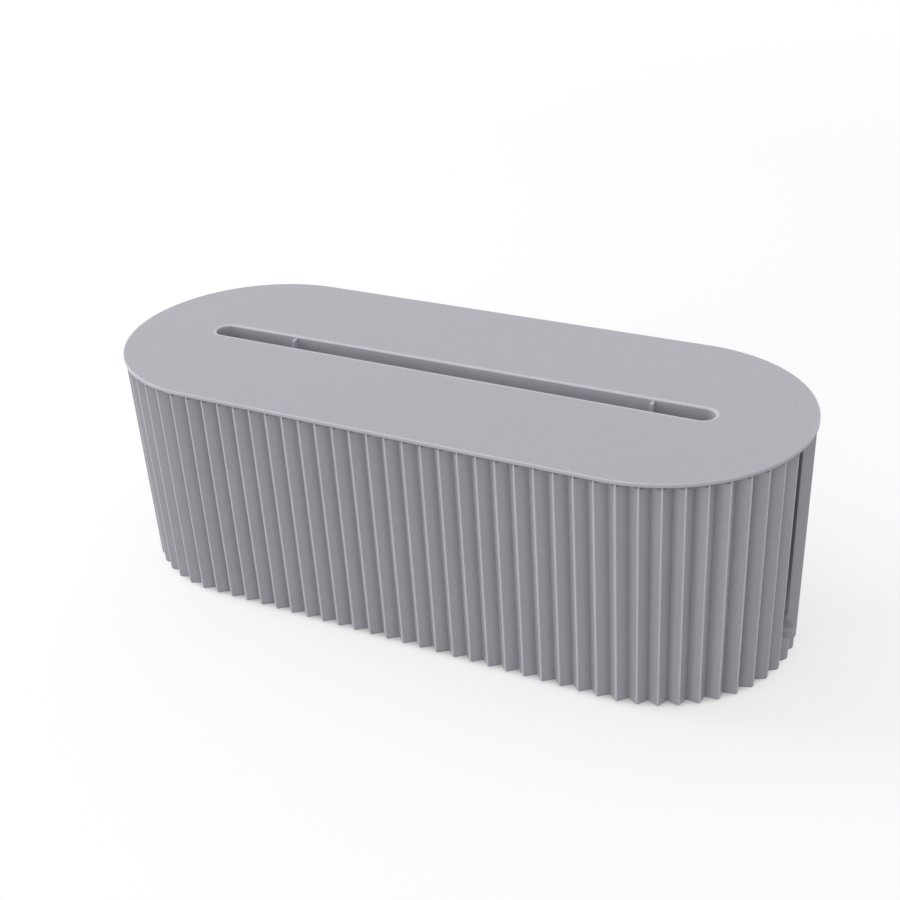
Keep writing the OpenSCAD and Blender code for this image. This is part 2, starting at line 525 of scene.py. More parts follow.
@dataclass(frozen=True)
class FlutedBox:
    """Box moulding: fluted wall, floor with vents, notches and foot recesses.

    Its length and width are over the flute crests, at the top of the wall.
    Heights run from the underside up. A point of the wall is given by the
    distance s along the valley line, counted from the middle of the front
    towards +X, the height h, and how far it stands out from the valley line.
    Steps are numbers of segments.
    """

    length: float = 330.0
    width: float = 130.0
    height: float = 107.3
    underside: float = 1.5
    lean: float = 3.0
    wall: float = 2.0
    floor: float = 2.5
    floor_radius: float = 2.0
    floor_steps: int = 5
    low_steps: int = 3
    flutes: int = 92
    flute_depth: float = 4.4
    crest_radius: float = 0.6
    crest_steps: int = 6
    crest_top_radius: float = 1.0
    foot_radius: float = 2.0
    foot_steps: int = 6
    # Share of the foot's and the crown's rounding that acts in a valley, and
    # the power with which the rest comes in towards the crest
    valley_share: float = 0.3
    blunting: float = 2.5
    edge_radius: float = 0.35
    # How far below the rim the wall gets painted shadow from the gap under the lid
    shadow_reach: float = 2.2
    notch_width: float = 17.0
    notch_sill: float = 12.0
    notch_radius: float = 3.0
    notch_steps: int = 8
    notch_side_steps: int = 4
    # How far the columns on the sill and beside the notch stay off its sides
    sill_margin: float = 0.2
    notch_margin: float = 1.0
    # Widest angle from the end's middle at which a notch's outline is sought
    search_turn: float = 0.4
    vents_each_side: int = 4
    vent_pitch: float = 22.0
    vent_width: float = 3.0
    vent_length: float = 50.0
    vent_edge: float = 0.4
    vent_end_steps: int = 12
    recess_from_end: float = 55.0
    recess_from_side: float = 30.0
    recess_radius: float = 7.25
    recess_depth: float = 0.5
    name: str = "box_moulding"

    @property
    def half_straight(self) -> float:
        """Half the length of each straight of the plan."""
        return (self.length - self.width) / 2

    @property
    def valley_radius(self) -> float:
        """Radius of the valley line's half circles."""
        return self.width / 2 - self.flute_depth

    @property
    def bend(self) -> float:
        """Length of each half circle of the valley line."""
        return math.pi * self.valley_radius

    @property
    def valley_line(self) -> float:
        """Length of the valley line."""
        return 4 * self.half_straight + 2 * self.bend

    @property
    def pitch(self) -> float:
        """Width of one flute along the valley line."""
        return self.valley_line / self.flutes

    @property
    def flank_angle(self) -> float:
        """Slope of a flank that leaves the valley and meets the crest's arc."""
        rise, run = self.flute_depth - self.crest_radius, self.pitch / 2
        return math.atan2(rise, run) + math.asin(self.crest_radius / math.hypot(rise, run))

    def flute(self, s: Array) -> Array:
        """Height of the fluted surface over the valley line.

        Within r * sin(angle) of the crest it is the crest's arc,
        depth - r + sqrt(r^2 - t^2), and past it the straight flank.
        """
        r, angle = self.crest_radius, self.flank_angle
        t = np.abs(np.mod(s, self.pitch) - self.pitch / 2)
        crest = self.flute_depth - r + np.sqrt(np.maximum(r * r - t * t, 0))
        flank = (self.pitch / 2 - t) * math.tan(angle)
        return np.where(t < r * math.sin(angle), crest, flank)

    def outer(self, s: Array, h: Array) -> Array:
        """How far the fluted face stands out: it leans in towards the foot.

        The foot and the tops of the crests are rounded: the whole rounding
        acts on a crest and valley_share of it in a valley, and in between it
        grows with a power of the flute's height, which blunts the crest.
        """
        flute = self.flute(s)
        foot, top = rounding(h, self.foot_radius), rounding(self.height - h, self.crest_top_radius)
        share = (flute / self.flute_depth) ** self.blunting
        share = self.valley_share + (1 - self.valley_share) * share
        return flute - self.lean * (1 - h / self.height) - (foot + top) * share

    def inner(self, s: Array, h: Array) -> Array:
        """How far the smooth inner face stands out, with its fillet to the floor."""
        fillet = rounding(h - self.floor, self.floor_radius)
        return -self.wall - self.lean * (1 - h / self.height) - fillet + 0 * s

    def place(self, s: Array, h: Array, out: Array) -> Array:
        """Points of the wall, from their place along it, height and reach.

        On a straight, x follows s and y is the reach. Round an end, the reach
        turns about the end's middle by (s - start of the bend) / radius.
        """
        s, h, out = np.broadcast_arrays(s, h, out)
        c, bend = self.half_straight, self.bend
        s = np.mod(s, self.valley_line)
        r = self.valley_radius + out
        right = (s - c) / self.valley_radius
        left = (s - 3 * c - bend) / self.valley_radius
        where = [s < c, s < c + bend, s < 3 * c + bend, s < 3 * c + 2 * bend]
        x = [s, c + r * np.sin(right), 2 * c + bend - s, -c - r * np.sin(left)]
        y = [-r, -r * np.cos(right), r, r * np.cos(left)]
        x, y = np.select(where, x, s - self.valley_line), np.select(where, y, -r)
        return np.stack([x, y, h + self.underside], -1)

    def along_for(self, y: Array, h: Array, surface: Outwards) -> Array:
        """Where the right end's wall crosses a plane of constant y.

        Solves (radius + reach) * sin(angle) = y for the angle from the end's
        middle, up to search_turn, by halving: y grows all the way with it.

        Args:
            y: The plane's y, of either sign.
            h: Heights.
            surface: Reach of the face as a function of s and h.

        Returns:
            Distances along the valley line.
        """
        y, h = np.broadcast_arrays(np.asarray(y, float), np.asarray(h, float))
        middle, radius = self.valley_line / 4, self.valley_radius
        low, high = np.zeros(y.shape), np.full(y.shape, self.search_turn)
        for _ in range(HALVINGS):
            turn = (low + high) / 2
            s = middle + np.sign(y) * turn * radius
            short = (radius + surface(s, h)) * np.sin(turn) < np.abs(y)
            low, high = np.where(short, turn, low), np.where(short, high, turn)
        return middle + np.sign(y) * low * radius

    def columns(self, start: float, stop: float) -> Array:
        """Places of the crest arcs' points and the valleys between two places."""
        turn = np.linspace(-self.flank_angle, self.flank_angle, self.crest_steps + 1)
        crest = self.pitch / 2 + self.crest_radius * np.sin(turn)
        flute = np.concatenate([[0.0], crest])
        every = (np.arange(self.flutes)[:, None] * self.pitch + flute).ravel()
        return every[(every > start + WELD_MM) & (every < stop - WELD_MM)]

    # The notch's outline is followed from the front of the right end to its
    # rear: down to the corner, round it, along the sill and up again. An
    # inset widens the outline into the wall, for the rounded edges.

    @property
    def side_top(self) -> float:
        """Height at which a notch's side meets its lower corner."""
        return self.notch_sill + self.notch_radius

    def corner_turns(self, side: Side) -> Array:
        """Angles round a lower corner, with one where the valley meets it.

        That one is found by repetition, because the valley leans: its height
        gives its y, and the y gives the angle and the height again.
        """
        reach = self.notch_radius + self.edge_radius
        sign = side.value
        along = sign * self.pitch
        centre = sign * (self.notch_width / 2 - self.notch_radius)
        turn = math.pi / 4
        for _ in range(REPEATS):
            h = self.side_top - reach * math.cos(turn)
            out = float(self.outer(np.array(self.valley_line / 4 + along), np.array(h)))
            y = (self.valley_radius + out) * math.sin(along / self.valley_radius)
            turn = math.asin(min(1.0, sign * (y - centre) / reach))
        return np.sort(np.append(np.linspace(0, np.pi / 2, self.notch_steps + 1), turn))

    def notch_floor(self, inset: float, surface: Outwards) -> tuple[Array, Array]:
        """Outline of the notch's lower corners and sill.

        Args:
            inset: How far the outline is moved into the wall.
            surface: Reach of the face that it is drawn on.

        Returns:
            Places along the wall and heights, from the front to the rear.
        """
        reach = self.notch_radius + inset
        flat = self.notch_width / 2 - self.notch_radius
        fore, aft = self.corner_turns(Side.FRONT)[::-1], self.corner_turns(Side.REAR)
        middle, half = self.valley_line / 4, flat - self.sill_margin
        ahead = self.columns(middle - half, middle + half)
        sill = np.full(len(ahead), self.notch_sill - inset)
        turn = (ahead - middle) / self.valley_radius
        sill_y = (self.valley_radius + self.outer(ahead, sill)) * np.sin(turn)
        y = np.concatenate([-flat - reach * np.sin(fore), sill_y, flat + reach * np.sin(aft)])
        corners = [self.side_top - reach * np.cos(t) for t in (fore, aft)]
        h = np.concatenate([corners[0], sill, corners[1]])
        s = self.along_for(y, h, surface)
        if surface == self.outer:
            s[len(fore) : len(fore) + len(ahead)] = ahead
        return s, h

    @property
    def side_rows(self) -> Array:
        """Heights of the rows along a notch's side, up to the rounded rim."""
        top = self.height - self.crest_top_radius
        turn = math.asin(1 - self.edge_radius / self.crest_top_radius)
        crown = top + self.crest_top_radius * np.sin(np.linspace(0, turn, EDGE_STEPS + 1))
        sides = np.linspace(self.side_top, top, self.notch_side_steps + 1)
        # One row lies where the painted shadow under the lid starts
        return merged(sides, self.height - self.shadow_reach, crown)

    def rim(self, inset: float, surface: Outwards) -> Array:
        """Upper outline of the wall, from the right notch's sill round to the left one.

        Args:
            inset: How far the outline is moved into the wall.
            surface: Reach of the face that it is drawn on.

        Returns:
            Points of the closed outline.
        """
        s, h = self.notch_floor(inset, surface)
        rows = self.side_rows
        share = (rows - rows[0]) / (rows[-1] - rows[0])
        up = (rows[0] + share * (self.height - inset - rows[0]))[1:]
        rise, fall = self.side_places(up, inset, surface)
        top = self.rear_columns
        s = np.concatenate([s, rise, top, fall[::-1]])
        h = np.concatenate([h, up, np.full(len(top), up[-1]), up[::-1]])
        half = self.place(s, h, surface(s, h))
        return np.vstack([half, turned(half)])

    def side_places(self, h: Array, inset: float, surface: Outwards) -> tuple[Array, Array]:
        """Where the right notch's rear side and the left notch's rear side lie.

        The left notch is the right one turned by half a turn, so its rear side
        is half the way round from the right one's front side.
        """
        half = self.notch_width / 2 + inset
        rise = self.along_for(half, h, surface)
        return rise, self.along_for(-half, h, surface) + self.valley_line / 2

    @property
    def rear_columns(self) -> Array:
        """Columns of the wall between the notches, round the rear."""
        past = self.notch_width / 2 + self.notch_margin
        return self.columns(self.valley_line / 4 + past, self.valley_line * 3 / 4 - past)

    def wall_face(self, shell: Shell, surface: Outwards, foot: Array, flip: bool) -> Array:
        """Adds one face of the wall: both long sides and the parts under the notches.

        Args:
            shell: The moulding.
            surface: Reach of the face.
            foot: Heights of the rows where the face curves to the floor.
            flip: Whether the face points inwards.

        Returns:
            Plan points round its lowest row.
        """
        inset, top, side_top = self.edge_radius, self.rear_columns, self.side_top
        low = merged(foot, np.linspace(foot[-1], side_top, self.low_steps + 1))
        rows = merged(low, self.side_rows)
        rise, fall = self.side_places(np.maximum(rows, side_top), inset, surface)
        s = np.hstack([rise[:, None], np.tile(top, (len(rows), 1)), fall[:, None]])
        h = np.repeat(rows[:, None], s.shape[1], 1)
        rear = self.place(s, h, surface(s, h))
        s, crown = self.notch_floor(inset, surface)
        share = np.clip((low - foot[-1]) / (side_top - foot[-1]), 0, 1)[:, None]
        h = np.minimum(low, foot[-1])[:, None] + share * (crown - foot[-1])
        under = self.place(np.tile(s, (len(low), 1)), h, surface(s, h))
        for part in (rear, turned(rear), under, turned(under)):
            shell.grid(part, flip=flip)
        half = np.vstack([under[0, :-1], rear[0, :-1]])
        return np.vstack([half, turned(half)])[:, :2]

    def edge_ribbon(self, shell: Shell) -> None:
        """Adds the rim and the faces of the notches, with rounded edges.

        Each row runs round the whole outline. The first rows turn a quarter
        circle from the outer face into the rim, the last ones from the rim
        into the inner face.
        """
        way = self.rim(0, self.inner) - self.rim(0, self.outer)
        way /= np.linalg.norm(way, axis=1)[:, None]
        turns = np.linspace(0, np.pi / 2, EDGE_STEPS + 1)
        insets, shifts = (self.edge_radius * (1 - f(turns)) for f in (np.sin, np.cos))
        quarter = list(zip(insets.tolist(), shifts.tolist(), strict=True))
        rows = [self.rim(inset, self.outer) + way * shift for inset, shift in quarter]
        rows += [self.rim(inset, self.inner) - way * shift for inset, shift in quarter[::-1]]
        shell.grid(np.array(rows), closed=True)

    def vent_rings(self, grow: float) -> list[Array]:
        """Plan outlines of the vent slots, each grown by a given amount."""
        ring = Stadium((self.vent_length - self.vent_width) / 2, self.vent_width / 2 + grow)
        plan = ring.ring(1, self.vent_end_steps)[:, ::-1] * np.array([1.0, -1.0])
        steps = np.arange(-self.vents_each_side, self.vents_each_side + 1)
        return [plan + np.array([n * self.vent_pitch, 0.0]) for n in steps]

    def recess_middle(self, end: End, side: Side) -> Span:
        """Plan place of a foot's middle."""
        x, y = self.length / 2 - self.recess_from_end, self.width / 2 - self.recess_from_side
        return end.value * x, side.value * y

    def recess_rings(self) -> list[Array]:
        """Plan outlines of the foot recesses."""
        middles = [self.recess_middle(end, side) for end in End for side in Side]
        return [arc(m, self.recess_radius, (0, 360), ROUND_STEPS)[:-1] for m in middles]

    def floor_faces(self, shell: Shell, above: Array, below: Array) -> None:
        """Adds the floor's two faces, the vents' walls and the foot recesses.

        Args:
            shell: The moulding.
            above: Plan outline of the floor inside the box.
            below: Plan outline of the underside.
        """
        low, top, edge = self.underside, self.underside + self.floor, self.vent_edge
        recesses = self.recess_rings()
        shell.cap(above, self.vent_rings(edge), top, up=True)
        shell.cap(below, self.vent_rings(edge) + recesses, low, up=False)
        depths = arc_depths(edge, EDGE_STEPS)
        grown = [self.vent_rings(float(g)) for g in rounding(depths, edge)]
        levels = [*(low + depths), *(top - depths[::-1])]
        for vent in zip(*grown, *grown[::-1], strict=True):
            wall = [loop_of(ring, z) for ring, z in zip(vent, levels, strict=True)]
            shell.grid(np.array(wall), closed=True, flip=True)
        for ring in recesses:
            deep = loop_of(ring, low + self.recess_depth)
            shell.grid(np.array([loop_of(ring, low), deep]), closed=True, flip=True)
            shell.disc(deep, flip=True)

    def painted_light_tone(self, points: Array) -> Array:
        """Painted highlight on the crests, painted shade in the valleys, painted shadow under the
        lid and in the notches.

        The place along the wall comes back from a point's plan position: x on
        a straight, radius times angle round an end.
        """
        x, y, z = points.T
        c, radius, bend = self.half_straight, self.valley_radius, self.bend
        right = c + radius * np.arctan2(x - c, -y)
        left = 3 * c + bend + radius * np.arctan2(-c - x, y)
        s = np.select([x > c, x < -c, y > 0], [right, left, 2 * c + bend - x], x)
        h = np.clip(z - self.underside, 0, self.height)
        out = from_spine(x, y, c) - radius
        outside = np.abs(out - self.outer(s, h)) < MARGIN_MM
        t = np.abs(np.mod(s, self.pitch) - self.pitch / 2)
        crest = t < self.crest_radius * math.sin(self.flank_angle) - MARGIN_MM
        # Painted shadow under the lid, painted shade in the valleys, painted highlight on the
        # crests
        shadow_under_lid = h > self.height - self.shadow_reach + MARGIN_MM
        valley = t > self.pitch / 2 - MARGIN_MM
        wall = np.select([crest, shadow_under_lid, valley], [HIGHLIGHTED_EDGE, SHADOWED_GAP, SHADED_CREASE], 0.0)
        # Painted shadow on the notches' faces
        notch_shadow = (np.abs(y) < self.notch_width / 2 + MARGIN_MM) & (h > self.side_top)
        return np.select([notch_shadow & (np.abs(x) > c), outside], [SHADOWED_GAP, wall], 0.0)

    def build(self, finish: MouldedPlastic) -> bpy.types.Object:
        """Builds the moulding and dresses it."""
        shell = Shell()
        foot = arc_depths(self.foot_radius, self.foot_steps)
        below = self.wall_face(shell, self.outer, foot, flip=False)
        foot = self.floor + arc_depths(self.floor_radius, self.floor_steps)
        above = self.wall_face(shell, self.inner, foot, flip=True)
        self.edge_ribbon(shell)
        self.floor_faces(shell, above, below)
        mesh = shell.mesh(self.name)
        paint_light_and_shade(mesh, self.painted_light_tone)
        return add_piece(mesh, finish.material(), "box_body", "plastic", "box")


# ---------------------------------------------------------------- the lid


def prism(outline: Array, low: float, high: float, radius: float) -> Array:
    """Rows of a bar along +X with an even outline and rounded rims.

    Each row is the outline moved in along its own corners by the rounding at
    that depth. The ends are the first and last rows.

    Args:
        outline: Points (y, z) round the bar, counter-clockwise seen from +X.
        low: X of one end.
        high: X of the other end.
        radius: Radius of the rims.

    Returns:
        Array of rows x points x 3.
    """
    before, after = np.roll(outline, 1, 0), np.roll(outline, -1, 0)
    a, b = outline - before, after - outline
    a /= np.linalg.norm(a, axis=1)[:, None]
    b /= np.linalg.norm(b, axis=1)[:, None]
    left_a, left_b = a[:, ::-1] * [-1, 1], b[:, ::-1] * [-1, 1]
    inward = (left_a + left_b) / (1 + (a * b).sum(1))[:, None]
    depths = arc_depths(radius, EDGE_STEPS)
    places = np.concatenate([low + depths, (high - depths)[::-1]])
    shifts = rounding(depths, radius)
    shifts = np.concatenate([shifts, shifts[::-1]])
    flat = outline[None] + inward[None] * shifts[:, None, None]
    x = np.broadcast_to(places[:, None, None], (*flat.shape[:2], 1))
    return np.concatenate([x, flat], -1)


def bar_shell(outline: Array, low: float, high: float, radius: float) -> Shell:
    """A bar along X with rounded rims, closed with flat ends."""
    rows = prism(outline, low, high, radius)
    shell = Shell()
    shell.grid(rows, closed=True)
    for row, up in ((rows[0], False), (rows[-1], True)):
        flat = Shell()
        flat.cap(rows[0][:, 1:], [], 0.0, up=up)
        y, z, _ = flat.points[0].T
        shell.take(np.column_stack([np.full(len(y), row[0, 0]), y, z]), flat.faces[0])
    return shell


@dataclass(frozen=True)
class SlottedLid:
    """Lid moulding: plate, slot with its hanging wall, phone trough and skirt.

    Its shells overlap by a bite where they are joined. The trough's floor and
    dividers are lifted a little off the foot of the slot's wall.
    """

    box: FlutedBox
    plate: float = 2.0
    overhang: float = 0.8
    plate_edge: float = 0.6
    lower_edge: float = 0.5
    # Share of the lower edge's height, over the box, that gets painted shadow
    shadow_share: float = 0.6
    slot_margin: float = 41.0
    slot_radius: float = 5.5
    slot_edge: float = 0.7
    # How far past its rounded edge the slot gets a painted highlight, and where that ends
    slot_highlight: float = 0.5
    slot_highlight_end: float = 1.1
    slot_wall: float = 1.8
    wall_edge: float = 0.35
    root_fillet: float = 0.8
    trough_length: float = 181.0
    trough_shift: float = 6.5
    trough_depth: float = 17.5
    trough_floor: float = 2.0
    floor_lift: float = 0.15
    floor_short: float = 0.3
    floor_edge: float = 0.1
    divider: float = 1.6
    divider_lift: float = 0.1
    divider_edge: float = 0.25
    rib: float = 3.1
    rib_drop: float = 0.1
    rib_edge: float = 0.4
    lead_gap_depth: float = 11.0
    skirt_radius: float = 58.0
    skirt: float = 1.6
    skirt_height: float = 7.0
    skirt_notch_gap: float = 2.0
    skirt_edge: float = 0.4
    skirt_steps: int = 48
    bite: float = 0.4
    # Strength of the painted highlight on the plate's side and on the ribs
    side_highlight: float = 0.5
    rib_highlight: float = 0.7
    corner_steps: int = 6
    straight_steps: int = 6
    arc_steps: int = 96
    name: str = "lid_moulding"

    @property
    def rim_z(self) -> float:
        """Height of the plate's underside, which lies on the box's rim."""
        return self.box.underside + self.box.height

    @property
    def top(self) -> float:
        """Height of the plate's top face."""
        return self.rim_z + self.plate

    @property
    def plate_radius(self) -> float:
        """Radius of the plate's round ends."""
        return self.box.width / 2 + self.overhang

    @property
    def slot_half(self) -> float:
        """Half the length of the slot's straights."""
        plate_half = self.box.half_straight + self.plate_radius
        return plate_half - self.slot_margin - self.slot_radius

    @property
    def hang_z(self) -> float:
        """Height of the foot of the slot's wall."""
        return self.top - self.trough_depth - self.trough_floor

    @property
    def rib_top(self) -> float:
        """Height of the ribs' tops, a little below the slot's rounded edge."""
        return self.top - self.slot_edge - self.rib_drop

    @property
    def gap_z(self) -> float:
        """Height of the floor of the gaps that let a lead past the ribs."""
        return self.rib_top - self.lead_gap_depth

    def plate_profile(self) -> Array:
        """Rows (half straight, radius, z) round the lid's cross-section.

        They run from the flat top into the slot, down its wall, round the
        wall's foot, up to the plate's underside, out along it and round the
        plate's outer edge. Each rounded corner is a quarter circle.
        """
        c, s = self.box.half_straight, self.slot_half
        low, rim, top = self.hang_z, self.rim_z, self.top
        r, far, plate = self.slot_radius, self.slot_radius + self.slot_wall, self.plate_radius
        edge, wall, fillet = self.slot_edge, self.wall_edge, self.root_fillet
        under, over = self.lower_edge, self.plate_edge
        # Two rows on the top bound the painted highlight round the slot
        highlight_ring = r + edge + np.array([self.slot_highlight_end, self.slot_highlight])
        parts = [
            (s, np.column_stack([highlight_ring, np.full(2, top)])),
            (s, arc((r + edge, top - edge), edge, (90, 180), self.corner_steps)),
            (s, arc((r + wall, low + wall), wall, (180, 270))),
            (s, arc((far - wall, low + wall), wall, (-90, 0))),
            (s, arc((far + fillet, rim - fillet), fillet, (180, 90))),
            (c, arc((plate - under, rim + under), under, (-90, 0))),
            (c, arc((plate - over, top - over), over, (0, 90), self.corner_steps)),
        ]
        return np.vstack([np.insert(rows, 0, half, 1) for half, rows in parts])

    def plate_shell(self) -> Shell:
        """Plate and slot wall: the cross-section carried round the stadium."""
        rows = [
            loop_of(Stadium(c, r).ring(self.straight_steps, self.arc_steps), z)
            for c, r, z in self.plate_profile()
        ]
        shell = Shell()
        shell.grid(np.array(rows), closed=True, across=True)
        return shell

    def skirt_shell(self, side: Side) -> Shell:
        """One half of the skirt, from notch to notch.

        The cross-section, a strip with rounded lower edges whose top bites
        into the plate, is carried round the stadium between two planes of
        constant y. Each row has its own end angles, acos(y / radius).
        """
        low, high = self.rim_z - self.skirt_height, self.rim_z + self.bite
        out, e, c = self.skirt_radius, self.skirt_edge, self.box.half_straight
        inner = out - self.skirt
        corners = [arc((out - e, low + e), e, (0, -90)), arc((inner + e, low + e), e, (-90, -180))]
        profile = np.vstack([[[out, high]], *corners, [[inner, high]]])
        radius, z = profile[:, :1], profile[:, 1:]
        t = np.linspace(0, 1, self.skirt_steps + 1)
        turn = np.arccos((self.box.notch_width / 2 + self.skirt_notch_gap) / radius)
        left, right = t[::-1] * turn, t * turn
        x = np.hstack([-c - radius * np.sin(left), c + radius * np.sin(right)])
        y = -radius * np.hstack([np.cos(left), np.cos(right)])
        rows = np.stack([x, y, np.broadcast_to(z, x.shape)], -1)
        if side is Side.REAR:
            rows = turned(rows)
        shell = Shell()
        shell.grid(rows, across=True, flip=True)
        shell.disc(rows[:, 0], flip=True)
        shell.disc(rows[:, -1])
        return shell

    def divider_outline(self) -> Array:
        """Outline (y, z) of a divider: a low wall with a tall rib at its rear."""
        half, low = self.slot_radius + self.bite, self.hang_z + self.divider_lift
        front, top, e = self.slot_radius - self.rib, self.rib_top, self.rib_edge
        foot = [[-half, low], [half, low], [half, top]]
        lip = arc((front + e, top - e), e, (90, 180))
        root = arc((front - e, self.gap_z + e), e, (0, -90))
        return np.vstack([foot, lip, root, [[-half, self.gap_z]]])

    def trough_shells(self) -> list[Shell]:
        """Trough floor and its two dividers."""
        half, low = self.slot_radius + self.bite, self.hang_z + self.floor_lift
        high = self.hang_z + self.trough_floor
        floor = np.array([[-half, low], [half, low], [half, high], [-half, high]])
        left, right = (self.trough_shift + k * self.trough_length / 2 for k in (-1, 1))
        outline, short = self.divider_outline(), self.floor_short
        return [
            bar_shell(floor, left + short, right - short, self.floor_edge),
            bar_shell(outline, left, left + self.divider, self.divider_edge),
            bar_shell(outline, right - self.divider, right, self.divider_edge),
        ]

    def painted_light_tone(self, points: Array) -> Array:
        """Painted highlight on the edges of the plate and the slot, weaker on its side and ribs.

        The plate's lower edge, where it meets the box, gets painted shadow.
        """
        x, y, z = points.T
        rim, slot = from_spine(x, y, self.box.half_straight), from_spine(x, y, self.slot_half)
        # Painted highlight on the plate's rounded rim and round the slot
        near_rim = (rim > self.plate_radius - self.plate_edge + MARGIN_MM) & (
            z > self.top - self.plate_edge + MARGIN_MM
        )
        near_slot = (slot < self.slot_radius + self.slot_edge + self.slot_highlight + MARGIN_MM) & (
            z > self.top - self.slot_edge + MARGIN_MM
        )
        # Painted shadow on the plate's lower edge, where it meets the box
        foot = (rim > self.skirt_radius + MARGIN_MM) & (
            z < self.rim_z + self.shadow_share * self.lower_edge
        )
        # Weaker painted highlight on the plate's side and on the ribs
        side = rim > self.plate_radius - MARGIN_MM
        ribs = (slot < self.slot_radius - MARGIN_MM) & (
            z > self.gap_z + self.rib_edge + MARGIN_MM
        )
        where = [near_rim | near_slot, foot, side, ribs & (z < self.rib_top + MARGIN_MM)]
        return np.select(where, [HIGHLIGHTED_EDGE, SHADOWED_GAP, self.side_highlight, self.rib_highlight], 0.0)

    def build(self, finish: MouldedPlastic) -> bpy.types.Object:
        """Joins the shells into one solid skin and dresses it."""
        skirts = [self.skirt_shell(side) for side in Side]
        mesh = united(self.name, [self.plate_shell(), *skirts, *self.trough_shells()])
        paint_light_and_shade(mesh, self.painted_light_tone)
        return add_piece(mesh, finish.material(), "lid_body", "plastic", "lid")


def united(name: str, shells: list[Shell]) -> bpy.types.Mesh:
    """Joins overlapping closed shells into one skin.

    Args:
        name: Name of the mesh.
        shells: Closed shells that overlap where they are joined.

    Returns:
        The skin's mesh.
    """
    objects = []
    for n, shell in enumerate(shells):
        part = bpy.data.objects.new(f"{name}_{n}", shell.mesh(f"{name}_{n}"))
        bpy.context.scene.collection.objects.link(part)
        objects.append(part)
    first = objects[0]
    for other in objects[1:]:
        join = first.modifiers.new(other.name, "BOOLEAN")
        join.operation = "UNION"
        join.solver = "EXACT"
        join.object = other
    graph = bpy.context.evaluated_depsgraph_get()
    mesh = bpy.data.meshes.new_from_object(first.evaluated_get(graph))
    for part in objects:
        bpy.data.objects.remove(part, do_unlink=True)
    mesh.name = name
    mesh.shade_smooth()
    mesh.set_sharp_from_angle(angle=SHARP_ANGLE)
    return mesh


# ---------------------------------------------------------------- the feet


@dataclass(frozen=True)
class StickOnFoot:
    """Round rubber foot: a turned profile with a soft edge and a shallow dish."""

    box: FlutedBox
    end: End
    side: Side
    radius: float = 7.0
    thickness: float = 2.0
    edge: float = 0.7
    edge_steps: int = 5
    dish: float = 0.25
    dish_rows: tuple[float, ...] = (0.12, 0.3, 0.45, 0.6, 0.7)
    crown: float = 0.2
    crown_turn: float = 72.0
    crown_steps: int = 2

    @property
    def node(self) -> str:
        """Name of the solid that the foot stands for."""
        return f"foot_{self.side.name.lower()}_{self.end.name.lower()}"

    def profile(self) -> Array:
        """Rows (radius, z) from the dish under the foot to its flat top.

        The dish is a shallow bowl, dish * (1 - (r / rim)^2), inside a flat
        ring on which the foot stands. Its rows lie at shares of the radius at
        which the soft edge starts, and the last one is its rim. The crown's
        edge stops short of a quarter circle, which keeps the top clear of the
        recess.
        """
        ring, crown = self.radius - self.edge, self.crown
        share = np.array(self.dish_rows)
        bowl = np.column_stack([ring * share, self.dish * (1 - (share / share[-1]) ** 2)])
        soft = arc((ring, self.edge), self.edge, (-90, 0), self.edge_steps)
        top = (self.radius - crown, self.thickness - crown)
        return np.vstack([bowl, soft, arc(top, crown, (0, self.crown_turn), self.crown_steps)])

    def build(self, finish: SoftRubber) -> bpy.types.Object:
        """Builds the foot and dresses it."""
        middle = self.box.recess_middle(self.end, self.side)
        rows = [
            loop_of(arc(middle, radius, (0, 360), ROUND_STEPS)[:-1], z)
            for radius, z in self.profile()
        ]
        shell = Shell()
        shell.grid(np.array(rows), closed=True)
        shell.disc(rows[0], flip=True)
        shell.disc(rows[-1])
        mesh = shell.mesh(f"{self.node}_pad")
        return add_piece(mesh, finish.material(), "box_body", "rubber", self.node)


# ---------------------------------------------------------------- the studio


@dataclass(frozen=True)
class SoftBox:
    """Square area lamp that faces the box; a plain one lights without a gloss."""

    name: str
    place: Triple
    size: float
    watts: float
    colour: Triple = (1.0, 1.0, 1.0)
    aim: Triple = (0.0, 0.0, 0.05)
    plain: bool = False

    def build(self) -> None:
        """Adds the lamp."""
        lamp = bpy.data.lights.new(self.name, "AREA")
        lamp.size = self.size
        lamp.energy = self.watts
        lamp.color = self.colour
        lamp_object = bpy.data.objects.new(self.name, lamp)
        way = Vector(self.aim) - Vector(self.place)
        turn = way.to_track_quat("-Z", "Y").to_matrix().to_4x4()
        lamp_object.matrix_world = Matrix.Translation(self.place) @ turn
        lamp_object.visible_glossy = not self.plain
        bpy.context.scene.collection.objects.link(lamp_object)


